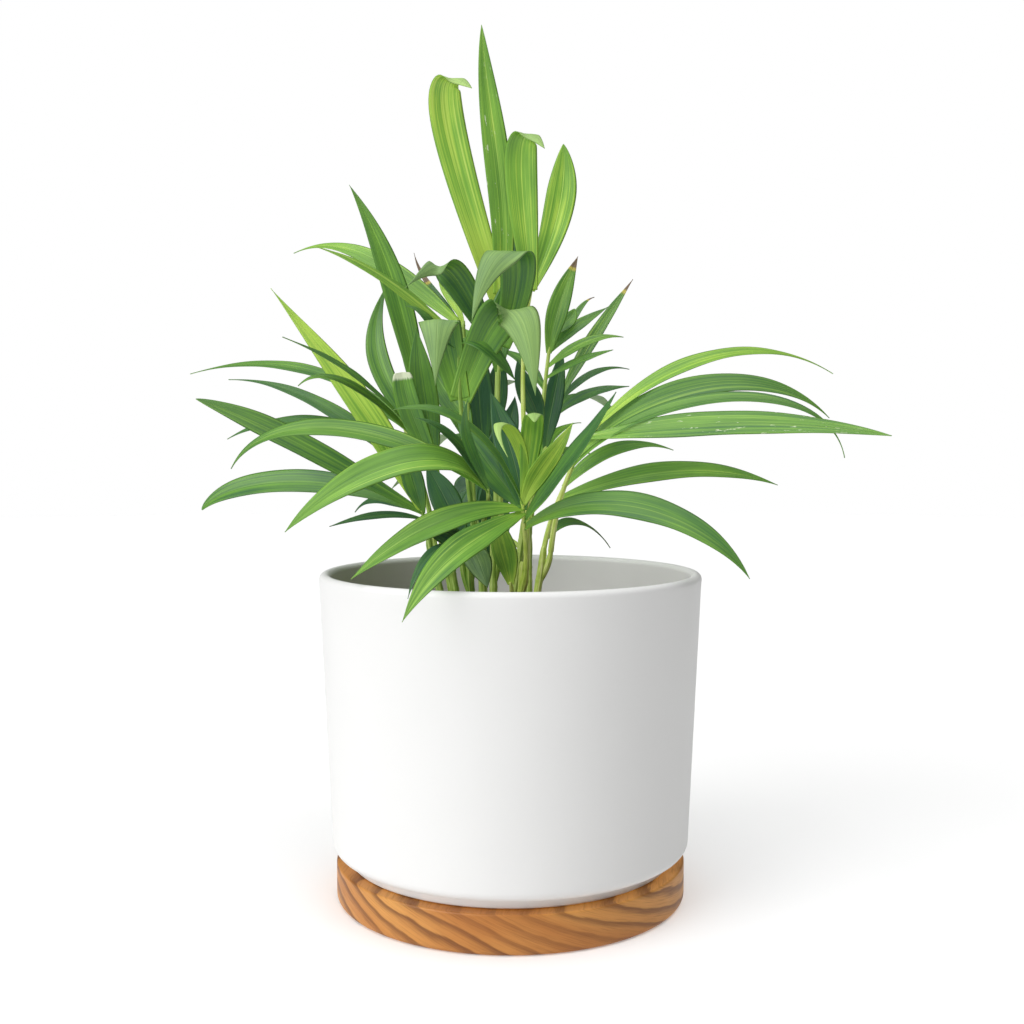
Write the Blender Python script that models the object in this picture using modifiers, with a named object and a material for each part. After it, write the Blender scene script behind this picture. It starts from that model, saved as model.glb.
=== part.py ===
# Potted young palm: a clump of thin stems with arching fronds, in a round
# ceramic pot that stands on a turned wood saucer.
# Lengths are in millimetres until a mesh is made, and angles in degrees.
# The origin is the centre of the saucer's flat underside. X runs to the right,
# Y to the back and Z up. A compass angle is turned from +X towards +Y.

import math

import bmesh
import bpy
import numpy as np
from mathutils import Vector

MM = 0.001
CLEARANCE = 0.3

# Saucer: a solid disc with a small bright edge on top and a rounder one below
SAUCER_RADIUS = 73.5
SAUCER_HEIGHT = 15.9
SAUCER_TOP_ROUND = 0.8
SAUCER_BOTTOM_ROUND = 2.4

# Pot: a slightly tapered cup on an inset foot ring
POT_HEIGHT = 120.2
RIM_RADIUS = 80.0
BASE_RADIUS = 74.7
WALL = 4.8
FLOOR = 6.0
LOWER_EDGE_ROUND = 4.2
FOOT_RADIUS = 68.2
FOOT_HEIGHT = 4.2
FOOT_WIDTH = 6.0
FOOT_RECESS = 1.8
ROUND_STEPS = 44

# Soil: fills the pot to a little below the rim
SOIL_BELOW_RIM = 22.5
SOIL_CROWN = 1.5

# Plant
STEM_RADIUS = 1.9
STEM_TIP_RADIUS = 1.5
PETIOLE_RADIUS = 1.25
RACHIS_TIP_RADIUS = 0.75
BLADE_ROWS = 6
BLADE_THICKNESS = 1.0
TIP_WIDTH = 0.9
KEEL = 0.10

POT_BOTTOM = SAUCER_HEIGHT + CLEARANCE
POT_TOP = POT_BOTTOM + POT_HEIGHT
SOIL_TOP = POT_TOP - SOIL_BELOW_RIM


def leaflet(at, tip, rise, fall, width, turn=0, lean=None, hold=0.38, curl=0.33,
            belly=0.42, taper=1.0, root=0.25):
    # at: where it leaves the rachis, from 0 at the foot to 1 at the end
    # rise, fall: pitch at the root and at the tip, or (compass, pitch)
    # turn: roll of the blade, clockwise seen from its root
    # lean: compass direction the blade leans to, else that of its tip
    # hold, curl: how far root and tip run straight on, as a share of the
    # distance between them
    # belly: where it is widest; taper: under 1 blunt, over 1 drawn out
    # root: width at the root as a share of the full width
    return dict(at=at, tip=tip, rise=rise, fall=fall, width=width, turn=turn,
                lean=lean, hold=hold, curl=curl, belly=belly, taper=taper,
                root=root)


# Stems: foot on the soil, and top
STEMS = {
    "stem_1": dict(foot=(-27, -15), top=(-34, -9, 151)),
    "stem_2": dict(foot=(-22, -1), top=(-27, 2, 150)),
    "stem_3": dict(foot=(-16, -12), top=(-18, -11, 152)),
    "stem_4": dict(foot=(-11, -4), top=(-12, -8, 150)),
    "stem_5": dict(foot=(-7, -15), top=(-7, -10, 160)),
    "stem_6": dict(foot=(4, -18), top=(5, -20, 142)),
    "stem_7": dict(foot=(10, -8), top=(14, -5, 147)),
    "stem_8": dict(foot=(1, 8), top=(6, 11, 158)),
    "stem_9": dict(foot=(-12, 16), top=(-14, 22, 160)),
    "stem_10": dict(foot=(8, 20), top=(8, 28, 152)),
    "stem_11": dict(foot=(-24, 9), top=(-30, 12, 150)),
}

# Fronds: the stem each one leaves, how far up it, on which side,
# the end of its rachis and the way it points there
FRONDS = {
    # The two tallest fronds, forked at the top
    "frond_1": dict(
        stem="stem_5", foot=0.9, side=70, end=(-4, 12, 255), way=(0, 86),
        leaves=[
            leaflet(0.96, (-16, 0, 337), (180, 71), (330, -40), 14.5, lean=90,
                    hold=0.98, curl=0.30, belly=0.45, taper=0.8, root=0.6),
            leaflet(1.0, (-12, 4, 364), (0, 84), (180, 87), 11, lean=90,
                    belly=0.45, taper=0.8, root=0.6),
            leaflet(0.98, (0, 24, 290), (0, 82), (60, 80), 9, lean=90),
        ]),
    "frond_2": dict(
        stem="stem_6", foot=0.92, side=60, end=(9, 4, 256), way=(0, 78),
        leaves=[
            leaflet(1.0, (14, -6, 311), (180, 85), (315, -50), 13.8, lean=90,
                    hold=0.62, curl=0.58, belly=0.5, taper=0.8, root=0.4),
            leaflet(0.99, (22.5, 12, 317), (0, 67), (180, 86), 12.8, lean=90,
                    belly=0.62, taper=0.75),
        ]),
    # Broad forked fronds whose lobes fold over and hang
    "frond_3": dict(
        stem="stem_5", foot=0.8, side=350, end=(-4, 0, 232), way=(0, 84),
        leaves=[
            leaflet(1.0, (-15.4, -27, 238), (0, 70), (235, -72), 16.5, lean=90,
                    hold=1.8, curl=1.4, belly=0.45, taper=1.1, root=0.5),
            leaflet(0.92, (-43, -14, 253), (180, 62), (188, -42), 13, lean=110,
                    hold=0.95, curl=0.5, belly=0.4, taper=1.4),
            leaflet(0.85, (2, 6, 262), (180, 86), (0, 80), 13, lean=90,
                    belly=0.55, taper=0.6),
        ]),
    "frond_4": dict(
        stem="stem_3", foot=0.9, side=20, end=(-21, -10, 233), way=(0, 88),
        leaves=[
            leaflet(0.7, (-30, -26, 213), (170, 75), (260, -80), 17, lean=90,
                    hold=2.2, curl=2.0, belly=0.5, taper=1.1, root=0.5),
            leaflet(0.7, (10, -26, 209), (0, 70), (300, -80), 18.5, lean=90,
                    hold=1.5, curl=1.35, belly=0.5, taper=1.0, root=0.5),
            leaflet(0.98, (2, -12, 216), (340, 20), (0, -50), 9, turn=40),
            leaflet(0.95, (-43, -13, 246), 20, 0, 5, turn=-50),
        ]),
    # Left side, upper
    "frond_5": dict(
        stem="stem_4", foot=0.9, side=150, end=(-20, 8, 242), way=(120, 86),
        leaves=[
            leaflet(0.97, (-98, 45, 276), 38, -18, 10, turn=-45, taper=1.2),
            leaflet(0.9, (-79, -12, 270), 36, 15, 10, turn=-40, taper=1.2),
            leaflet(1.0, (-31, 18, 263), 70, 80, 4, lean=90),
            leaflet(0.94, (-42, 24, 273), 60, 75, 3, lean=90),
            leaflet(0.5, (-33, 13, 224), (170, 72), (170, 80), 12, lean=90),
        ]),
    "frond_6": dict(
        stem="stem_2", foot=0.95, side=60, end=(-37, 6, 203), way=(160, 78),
        leaves=[
            leaflet(1.0, (-68, 8, 299), (170, 80), (170, 58), 11, lean=90,
                    belly=0.45),
            leaflet(0.7, (-54, 24, 259), (180, 54), (0, 68), 9.5, lean=90,
                    hold=0.5, curl=0.38, belly=0.5),
            leaflet(0.92, (-49, 30, 246), (150, 78), (120, 80), 5, lean=90),
            leaflet(0.6, (-39, -6, 238), (230, 78), (180, 86), 12, lean=90,
                    belly=0.5),
        ]),
    "frond_7": dict(
        stem="stem_11", foot=0.95, side=170, end=(-48, 24, 202), way=(150, 70),
        leaves=[
            leaflet(1.0, (-152, 70, 223), 35, -12, 8, turn=-30, taper=1.4),
            leaflet(0.5, (-128, 44, 219), 37, 0, 9, turn=-35, taper=1.3),
            leaflet(0.72, (-128, 40, 192), 20, -28, 10, turn=-40),
            leaflet(0.9, (-80, 90, 200), 25, -20, 11, turn=-10),
            leaflet(0.65, (-62, 92, 180), 16, -28, 10, turn=-10),
        ]),
    "frond_8": dict(
        stem="stem_3", foot=0.75, side=200, end=(-44, -12, 200), way=(180, 66),
        leaves=[
            leaflet(1.0, (-90, -30, 232), 46, 20, 8, turn=-25, taper=1.5),
            leaflet(0.88, (-85, -24, 213), 46, -45, 8, turn=-30),
            leaflet(0.5, (-44, -16, 219), (180, 76), (180, 86), 10, lean=90,
                    belly=0.7, taper=0.15),
        ]),
    # Left side, lower
    "frond_9": dict(
        stem="stem_1", foot=0.95, side=90, end=(-37, -6, 162), way=(170, 70),
        leaves=[
            leaflet(1.0, (-102, 10, 256), 65, 50, 12, turn=-60, belly=0.35,
                    taper=1.2),
            leaflet(0.9, (-45, -4, 192), (180, 76), (180, 80), 9, lean=90),
            leaflet(0.96, (-127, -20, 208), 29, 20, 13, turn=-50, belly=0.6,
                    taper=0.7, root=0.15),
            leaflet(0.92, (-135, 20, 161), 28, -50, 12, turn=-55, curl=0.2,
                    belly=0.55, taper=0.5, root=0.15),
            leaflet(0.98, (-68, 20, 160), 14, -45, 5, turn=-50, taper=0.6),
            leaflet(0.7, (-72, -30, 157), 16, -14, 4.4, turn=-40),
        ]),
    # Front, low and wide
    "frond_10": dict(
        stem="stem_4", foot=0.95, side=270, end=(-9, -31, 172), way=(260, 60),
        leaves=[
            leaflet(0.95, (-84, -62, 157), 58, -45, 15, turn=-42, hold=0.4),
            leaflet(1.0, (-110, -34, 180), 38, -62, 12, turn=-38, hold=0.44,
                    curl=0.28),
            leaflet(0.98, (-37, -36, 200), 60, 12, 8, turn=-40),
            leaflet(1.0, (-16, -52, 207), (200, 70), (30, 70), 4.5, lean=90),
        ]),
    "frond_11": dict(
        stem="stem_6", foot=0.9, side=300, end=(5, -28, 166), way=(270, 80),
        leaves=[
            leaflet(0.92, (-60, -58, 139), 5, -36, 12.5, turn=-38),
            leaflet(0.86, (-37, -102, 129), -12, -44, 13, turn=-22, hold=0.4),
            leaflet(0.62, (92, -48, 138), 36, -58, 13.5, turn=45),
            leaflet(0.72, (41, -40, 210), 52, 60, 14, turn=40, belly=0.35),
            leaflet(0.96, (-22, -16, 200), 45, 50, 13, turn=-60),
            leaflet(0.9, (-8, -18, 211), (180, 84), (160, 70), 13, lean=90),
            leaflet(1.0, (-45, -44, 203), 66, -12, 9, turn=-30, hold=0.5),
            # The young leaflets in the middle
            leaflet(1.0, (24, -46, 198), (0, 70), (0, 60), 9, lean=90),
            leaflet(1.0, (9, -58, 198), (0, 82), (270, -40), 9, lean=90,
                    hold=0.7, curl=0.35, taper=0.6),
            leaflet(1.0, (-1, -64, 185), (20, 80), (320, -55), 5.5, lean=90,
                    hold=0.8, curl=0.7),
        ]),
    "frond_12": dict(
        stem="stem_6", foot=0.3, side=165, end=(0, -22, 134), way=(180, 82),
        leaves=[
            leaflet(0.9, (-7, -27, 164), (180, 84), (180, 76), 10, lean=90),
        ]),
    # Right side
    "frond_13": dict(
        stem="stem_7", foot=0.95, side=0, end=(38, 0, 199), way=(0, 48),
        leaves=[
            leaflet(0.86, (150, -34, 193), 8, -10, 12.5, turn=55, belly=0.38,
                    taper=0.8),
            leaflet(0.7, (138, 16, 201), 48, -44, 12, turn=45, hold=0.38),
            leaflet(0.6, (139, -6, 184), 51, -80, 8, turn=35, hold=0.4,
                    taper=1.5),
            leaflet(0.98, (148, 50, 222), 42, -26, 9.5, turn=32, taper=1.3),
            leaflet(0.9, (72, 88, 203), 22, -15, 10),
        ]),
    "frond_14": dict(
        stem="stem_7", foot=0.8, side=90, end=(23, 6, 172), way=(30, 60),
        leaves=[
            leaflet(0.8, (116, 16, 172), 21, -20, 11, turn=45),
            leaflet(1.0, (75, 50, 187), 40, -14, 9, turn=25),
            leaflet(0.25, (45, 36, 143), 48, -45, 6, turn=30),
        ]),
    # Upper right, behind
    "frond_15": dict(
        stem="stem_8", foot=0.95, side=20, end=(18, 30, 238), way=(40, 80),
        leaves=[
            leaflet(0.9, (30, 34, 273), (0, 82), (0, 66), 9.5, lean=90),
            leaflet(1.0, (29, 44, 251), 55, 70, 8, turn=40, taper=0.6),
            leaflet(0.9, (45, 56, 253), 42, 25, 6, turn=35),
            leaflet(0.82, (50, 30, 237), 40, -8, 7, turn=35),
            leaflet(0.76, (45, 24, 231), 32, 15, 6, turn=35),
            leaflet(0.7, (-12, 78, 235), 40, 0, 9),
            leaflet(0.6, (-6, 92, 215), 30, -20, 9),
            leaflet(0.5, (3, 14, 226), (180, 80), (180, 84), 10, lean=90),
            leaflet(0.93, (39, 60, 258), 22, 12, 3.6, turn=30),
        ]),
    "frond_16": dict(
        stem="stem_8", foot=0.8, side=90, end=(23, 40, 212), way=(50, 70),
        leaves=[
            leaflet(1.0, (56, 50, 265), 63, 54, 6.5, turn=50),
            leaflet(0.95, (56, 66, 225), 45, -8, 4.5, turn=30),
            leaflet(0.85, (54, 44, 216), 45, 5, 7, turn=35),
            leaflet(0.6, (23, 36, 232), (0, 84), (0, 84), 9, lean=90,
                    taper=0.8),
            leaflet(0.9, (52, 100, 205), 25, -20, 10),
            leaflet(0.8, (20, 112, 192), 30, -35, 10),
        ]),
    # Dark leaves low in the middle
    "frond_17": dict(
        stem="stem_3", foot=0.7, side=270, end=(-19, -23, 149), way=(250, 60),
        leaves=[
            leaflet(1.0, (-37, -78, 134), 8, -56, 4.5, turn=-20),
            leaflet(0.95, (-34, -17, 181), (180, 74), (180, 60), 12, lean=90,
                    belly=0.5, taper=0.8),
            leaflet(0.9, (-40, -37, 158), 48, 0, 12, lean=90),
            leaflet(0.82, (-9, -34, 133), 14, -62, 11, lean=90),
            leaflet(1.0, (-11, -33, 158), 50, 10, 9, lean=90, belly=0.5),
        ]),
    "frond_18": dict(
        stem="stem_9", foot=0.7, side=270, end=(-12, 13, 172), way=(270, 50),
        leaves=[
            leaflet(0.95, (-20, 6, 140), (250, 20), (260, -80), 11),
            leaflet(1.0, (-9, 5, 142), (280, 20), (270, -80), 11),
            leaflet(0.9, (-2, 3, 150), (320, 30), (280, -75), 9),
            leaflet(0.97, (-25, 13, 166), (190, 22), (195, -40), 13, turn=-60),
            leaflet(0.85, (-27, 9, 150), (200, 20), (240, -70), 11, turn=-30),
        ]),
    # Back
    "frond_19": dict(
        stem="stem_9", foot=0.95, side=120, end=(-17, 40, 186), way=(110, 60),
        leaves=[
            leaflet(0.9, (-42, 112, 182), 30, -35, 11),
            leaflet(1.0, (-20, 120, 196), 35, -30, 11),
            leaflet(0.8, (-58, 84, 168), 20, -30, 10),
            leaflet(0.95, (4, 100, 172), 25, -40, 11),
            leaflet(0.98, (-38, 72, 214), 55, 10, 9),
        ]),
    "frond_20": dict(
        stem="stem_10", foot=0.95, side=80, end=(8, 46, 178), way=(80, 60),
        leaves=[
            leaflet(1.0, (22, 122, 168), 32, -40, 11),
            leaflet(0.85, (40, 92, 184), 30, -25, 10),
            leaflet(0.8, (-6, 108, 154), 15, -40, 11),
            leaflet(0.95, (34, 76, 200), 50, 0, 8),
        ]),
    "frond_21": dict(
        stem="stem_9", foot=0.85, side=30, end=(-12, 34, 228), way=(100, 78),
        leaves=[
            leaflet(0.9, (-30, 84, 246), 40, 0, 10),
            leaflet(1.0, (-8, 96, 238), 45, -20, 10),
            leaflet(0.8, (-38, 60, 232), 45, 5, 9, turn=-20),
            leaflet(0.5, (-4, 26, 231), (0, 72), (0, 84), 11, lean=90),
            leaflet(0.45, (-15, 21, 238), (180, 82), (180, 86), 13, lean=90),
            leaflet(0.25, (2, 29, 211), (0, 70), (0, 86), 12, lean=90),
        ]),
    "frond_22": dict(
        stem="stem_10", foot=0.7, side=180, end=(-2, 34, 150), way=(110, 50),
        leaves=[
            leaflet(0.9, (-32, 90, 140), 20, -35, 10),
            leaflet(1.0, (-8, 94, 146), 25, -35, 10),
        ]),
}

# Colours: base colour and roughness
LOOKS = {
    "saucer": ((0.62, 0.31, 0.11), 0.55),
    "pot": ((0.86, 0.86, 0.85), 0.6),
    "soil": ((0.06, 0.035, 0.02), 0.95),
    "stem": ((0.36, 0.44, 0.08), 0.5),
    "frond": ((0.12, 0.36, 0.04), 0.45),
}


def direction(compass, pitch):
    level = math.cos(math.radians(pitch))
    return np.array([level * math.cos(math.radians(compass)),
                     level * math.sin(math.radians(compass)),
                     math.sin(math.radians(pitch))])


def pointing(way, start, end):
    # A pitch alone is taken in the upright plane through both ends
    if isinstance(way, tuple):
        return direction(*way)
    run = np.subtract(end, start)
    return direction(math.degrees(math.atan2(run[1], run[0])), way)


def arc_handles(start, end, rise, fall, hold, curl):
    # A cubic that leaves the start along rise and reaches the end along fall
    start = np.array(start, float)
    end = np.array(end, float)
    span = np.linalg.norm(end - start)
    return np.array([start,
                     start + pointing(rise, start, end) * span * hold,
                     end - pointing(fall, start, end) * span * curl,
                     end])


def along(handles, t):
    # Place and unit tangent on the cubic at each t
    t = np.atleast_1d(np.asarray(t, float))[:, None]
    s = 1 - t
    a, b, c, d = handles
    place = s ** 3 * a + 3 * s * s * t * b + 3 * s * t * t * c + t ** 3 * d
    slope = s * s * (b - a) + 2 * s * t * (c - b) + t * t * (d - c)
    return place, slope / np.linalg.norm(slope, axis=1)[:, None]


def half_width(leaf, t):
    # Opens from the root to the belly, then closes to the tip
    t = np.asarray(t, float)
    opening = leaf["root"] + (1 - leaf["root"]) * np.sin(
        np.clip(t / leaf["belly"], 0, 1) * math.pi / 2)
    closing = np.cos(np.clip((t - leaf["belly"]) / (1 - leaf["belly"]), 0, 1)
                     * math.pi / 2) ** leaf["taper"]
    return np.maximum(0.5 * leaf["width"] * opening * closing,
                      0.5 * TIP_WIDTH)


def blade_frame(leaf, handles, t):
    # Side and face directions of the blade, which keeps its side level
    # apart from its turn
    place, tangent = along(handles, t)
    lean = leaf["lean"]
    if lean is None:
        run = handles[3] - handles[0]
        lean = math.degrees(math.atan2(run[1], run[0]))
    level_side = direction(lean - 90, 0)
    side = level_side - tangent * (tangent @ level_side)[:, None]
    side /= np.linalg.norm(side, axis=1)[:, None]
    face = np.cross(side, tangent)
    turn = math.radians(leaf["turn"])
    return (place,
            side * math.cos(turn) - face * math.sin(turn),
            face * math.cos(turn) + side * math.sin(turn))


def blade_point(leaf, handles, u, t):
    # u runs from -1 at the left edge over the keel to 1 at the right edge
    place, side, face = blade_frame(leaf, handles, t)
    half = half_width(leaf, t)
    lift = KEEL * 2 * half * np.abs(u)
    return place + side * (half * u)[:, None] + face * lift[:, None]


def make_blade(name, leaf, root):
    handles = arc_handles(root, leaf["tip"], leaf["rise"], leaf["fall"],
                          leaf["hold"], leaf["curl"])
    bm = bmesh.new()
    bmesh.ops.create_grid(bm, x_segments=2, y_segments=BLADE_ROWS, size=1)
    u = np.array([v.co.x for v in bm.verts])
    t = np.array([0.5 + 0.5 * v.co.y for v in bm.verts])
    for vert, place in zip(bm.verts, blade_point(leaf, handles, u, t)):
        vert.co = Vector(place * MM)
    mesh = bpy.data.meshes.new(name)
    bm.to_mesh(mesh)
    bm.free()
    blade = bpy.data.objects.new(name, mesh)
    shell = blade.modifiers.new("Thickness", "SOLIDIFY")
    span = np.linalg.norm(handles[3] - handles[0])
    shell.thickness = max(BLADE_THICKNESS, span / 90) * MM
    shell.offset = 0
    return blade


def make_tube(name, points, radii):
    # A round tube with flat ends, as a welded mesh
    curve = bpy.data.curves.new(name, "CURVE")
    curve.dimensions = "3D"
    curve.bevel_depth = MM
    curve.bevel_resolution = 1
    curve.use_fill_caps = True
    spline = curve.splines.new("POLY")
    spline.points.add(len(points) - 1)
    for point, place, radius in zip(spline.points, points, radii):
        point.co = (*(np.array(place) * MM), 1)
        point.radius = radius
    source = bpy.data.objects.new(name + "_curve", curve)
    bpy.context.scene.collection.objects.link(source)
    depsgraph = bpy.context.evaluated_depsgraph_get()
    mesh = bpy.data.meshes.new_from_object(source.evaluated_get(depsgraph))
    mesh.name = name
    bpy.data.objects.remove(source)
    bm = bmesh.new()
    bm.from_mesh(mesh)
    bmesh.ops.remove_doubles(bm, verts=bm.verts, dist=1e-6)
    bmesh.ops.recalc_face_normals(bm, faces=bm.faces)
    bm.to_mesh(mesh)
    bm.free()
    return bpy.data.objects.new(name, mesh)


def make_material(name, look):
    colour, roughness = look
    material = bpy.data.materials.new(name)
    material.use_nodes = True
    shader = material.node_tree.nodes["Principled BSDF"]
    shader.inputs["Base Color"].default_value = (*colour, 1)
    shader.inputs["Roughness"].default_value = roughness
    shader.inputs["Metallic"].default_value = 0
    return material


def finish(part, collection, look):
    collection.objects.link(part)
    part.data.materials.clear()
    part.data.materials.append(make_material(part.name, look))


def make_turned(name, profile, steps):
    # The profile runs down the outer side and starts and ends on the axis
    mesh = bpy.data.meshes.new(name)
    bm = bmesh.new()
    verts = [bm.verts.new((r * MM, 0, z * MM)) for r, z in profile]
    for first, second in zip(verts, verts[1:]):
        bm.edges.new((first, second))
    bm.to_mesh(mesh)
    bm.free()
    turned = bpy.data.objects.new(name, mesh)
    screw = turned.modifiers.new("Turn", "SCREW")
    screw.axis = "Z"
    screw.steps = steps
    screw.render_steps = steps
    screw.use_merge_vertices = True
    screw.merge_threshold = 0.00001
    return turned


def corner(centre, radius, start, end, steps):
    # Points on a round corner, from one angle to another
    angles = [math.radians(start + (end - start) * i / steps)
              for i in range(steps + 1)]
    return [(centre[0] + radius * math.cos(a), centre[1] + radius * math.sin(a))
            for a in angles]


def wall_radius(z):
    # Outer radius of the pot's tapered wall at a height above the floor
    share = (z - POT_BOTTOM) / POT_HEIGHT
    return BASE_RADIUS + (RIM_RADIUS - BASE_RADIUS) * share


def saucer_profile():
    top = SAUCER_TOP_ROUND
    low = SAUCER_BOTTOM_ROUND
    return ([(0, SAUCER_HEIGHT)]
            + corner((SAUCER_RADIUS - top, SAUCER_HEIGHT - top), top, 90, 0, 2)
            + corner((SAUCER_RADIUS - low, low), low, 0, -90, 3)
            + [(0, 0)])


def pot_profile():
    inner_floor = POT_BOTTOM + FLOOR
    lip = WALL / 2
    edge_top = POT_BOTTOM + FOOT_HEIGHT
    edge = LOWER_EDGE_ROUND
    foot_inner = FOOT_RADIUS - FOOT_WIDTH
    return ([(0, inner_floor),
             (wall_radius(inner_floor) - WALL - 4, inner_floor),
             (wall_radius(inner_floor + 4) - WALL, inner_floor + 4)]
            + corner((RIM_RADIUS - lip, POT_TOP - lip), lip, 180, 0, 6)
            + corner((wall_radius(edge_top + edge) - edge, edge_top + edge),
                     edge, 0, -90, 3)
            + [(FOOT_RADIUS, edge_top),
               (FOOT_RADIUS, POT_BOTTOM),
               (foot_inner, POT_BOTTOM),
               (foot_inner - FOOT_RECESS, POT_BOTTOM + FOOT_RECESS),
               (0, POT_BOTTOM + FOOT_RECESS)])


def soil_profile():
    bottom = POT_BOTTOM + FLOOR + CLEARANCE
    gap = WALL + CLEARANCE
    top_radius = wall_radius(SOIL_TOP) - gap
    return [(0, SOIL_TOP),
            (top_radius - 6, SOIL_TOP),
            (top_radius, SOIL_TOP - SOIL_CROWN),
            (wall_radius(bottom + 5) - gap, bottom + 5),
            (wall_radius(bottom) - gap - 4.5, bottom),
            (0, bottom)]


def stem_handles(stem):
    x, y = stem["foot"]
    start = (x, y, SOIL_TOP + CLEARANCE)
    return arc_handles(start, stem["top"], (0, 90), 84, 0.35, 0.3)


def make_stem(name, stem):
    t = np.linspace(0, 1, 5)
    places, _ = along(stem_handles(stem), t)
    radii = STEM_RADIUS + (STEM_TIP_RADIUS - STEM_RADIUS) * t
    return make_tube(name, places, radii)


def rachis_handles(frond):
    # The petiole starts beside its stem, clear of it, and runs up along it
    handles = stem_handles(STEMS[frond["stem"]])
    (place,), (tangent,) = along(handles, frond["foot"])
    across = direction(frond["side"], 0)
    across -= tangent * (tangent @ across)
    across /= np.linalg.norm(across)
    radius = STEM_RADIUS + (STEM_TIP_RADIUS - STEM_RADIUS) * frond["foot"]
    start = place + across * (radius + PETIOLE_RADIUS + CLEARANCE)
    end = np.array(frond["end"], float)
    span = np.linalg.norm(end - start)
    return np.array([start, start + tangent * span * 0.35,
                     end - direction(*frond["way"]) * span * 0.33, end])


def make_frond(name, frond):
    handles = rachis_handles(frond)
    t = np.linspace(0, 1, 7)
    places, _ = along(handles, t)
    radii = PETIOLE_RADIUS + (RACHIS_TIP_RADIUS - PETIOLE_RADIUS) * t
    rachis = make_tube(name, places, radii)
    blades = bpy.data.collections.new(name + "_leaflets")
    bpy.context.scene.collection.children.link(blades)
    bpy.context.scene.collection.objects.link(rachis)
    for number, leaf in enumerate(frond["leaves"], 1):
        (root,), _ = along(handles, min(leaf["at"], 0.985))
        blades.objects.link(make_blade(f"{name}_leaflet_{number}", leaf, root))
    union = rachis.modifiers.new("Leaflets", "BOOLEAN")
    union.operation = "UNION"
    union.solver = "EXACT"
    union.operand_type = "COLLECTION"
    union.collection = blades
    depsgraph = bpy.context.evaluated_depsgraph_get()
    joined = bpy.data.meshes.new_from_object(rachis.evaluated_get(depsgraph))
    rachis.modifiers.clear()
    rachis.data = joined
    joined.name = name
    for blade in list(blades.objects):
        bpy.data.objects.remove(blade)
    bpy.data.collections.remove(blades)
    bpy.context.scene.collection.objects.unlink(rachis)
    return rachis


def clear_scene():
    for item in list(bpy.data.objects):
        bpy.data.objects.remove(item, do_unlink=True)
    for group in list(bpy.data.collections):
        bpy.data.collections.remove(group)


def build():
    clear_scene()
    palm = bpy.data.collections.new("potted_palm")
    bpy.context.scene.collection.children.link(palm)
    finish(make_turned("saucer", saucer_profile(), ROUND_STEPS), palm,
           LOOKS["saucer"])
    finish(make_turned("pot", pot_profile(), ROUND_STEPS), palm, LOOKS["pot"])
    finish(make_turned("soil", soil_profile(), ROUND_STEPS), palm,
           LOOKS["soil"])
    for name, stem in STEMS.items():
        finish(make_stem(name, stem), palm, LOOKS["stem"])
    for name, frond in FRONDS.items():
        finish(make_frond(name, frond), palm, LOOKS["frond"])


build()
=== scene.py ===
# Looks of a potted young palm: striped arching leaflets on thin stems, in a
# matte white pot on a turned wooden saucer.
# Metres and +Z up, with the plant's own measures in millimetres as noted.

import bpy
import math
import numpy as np
from mathutils import Matrix, Vector


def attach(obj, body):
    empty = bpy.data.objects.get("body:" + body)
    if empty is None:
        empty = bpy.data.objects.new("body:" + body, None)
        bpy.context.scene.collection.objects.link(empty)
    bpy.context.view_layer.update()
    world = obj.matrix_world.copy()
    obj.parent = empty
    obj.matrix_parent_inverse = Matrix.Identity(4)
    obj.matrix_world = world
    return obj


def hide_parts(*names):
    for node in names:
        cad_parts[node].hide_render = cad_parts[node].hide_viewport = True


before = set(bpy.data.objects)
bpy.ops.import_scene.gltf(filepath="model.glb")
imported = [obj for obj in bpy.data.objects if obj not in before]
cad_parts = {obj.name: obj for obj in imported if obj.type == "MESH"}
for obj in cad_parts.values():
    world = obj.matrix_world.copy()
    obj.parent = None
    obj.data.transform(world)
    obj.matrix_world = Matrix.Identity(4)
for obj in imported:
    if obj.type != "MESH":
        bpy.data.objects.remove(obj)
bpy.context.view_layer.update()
mm = 0.001
pole = 0.01  # radius in mm at which a turned surface is closed
print("frame loaded:", len(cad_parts), "nodes")


# Shader maths: a socket that can be added, multiplied and compared

class Signal:
    def __init__(self, tree, socket):
        self.tree = tree
        self.socket = socket

    def math(self, operation, *others, clamp=False):
        node = self.tree.nodes.new("ShaderNodeMath")
        node.operation = operation
        node.use_clamp = clamp
        for slot, value in zip(node.inputs, (self, *others)):
            plug(self.tree, slot, value)
        return Signal(self.tree, node.outputs[0])

    def __add__(self, other):
        return self.math("ADD", other)

    __radd__ = __add__

    def __mul__(self, other):
        return self.math("MULTIPLY", other)

    __rmul__ = __mul__

    def __sub__(self, other):
        return self.math("SUBTRACT", other)

    def __rsub__(self, other):
        return self * -1 + other

    def __truediv__(self, other):
        return self.math("DIVIDE", other)

    def __gt__(self, other):
        return self.math("GREATER_THAN", other)

    def bounded(self):
        # kept between 0 and 1
        return self.math("ADD", 0, clamp=True)

    def size(self):
        return self.math("ABSOLUTE")

    def ramp(self, low, high):
        # 0 at low, 1 at high, smooth between
        node = self.tree.nodes.new("ShaderNodeMapRange")
        node.interpolation_type = "SMOOTHSTEP"
        node.inputs["From Min"].default_value = low
        node.inputs["From Max"].default_value = high
        self.tree.links.new(self.socket, node.inputs["Value"])
        return Signal(self.tree, node.outputs["Result"])


def plug(tree, socket, value):
    if isinstance(value, Signal):
        tree.links.new(value.socket, socket)
    else:
        socket.default_value = value


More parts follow.
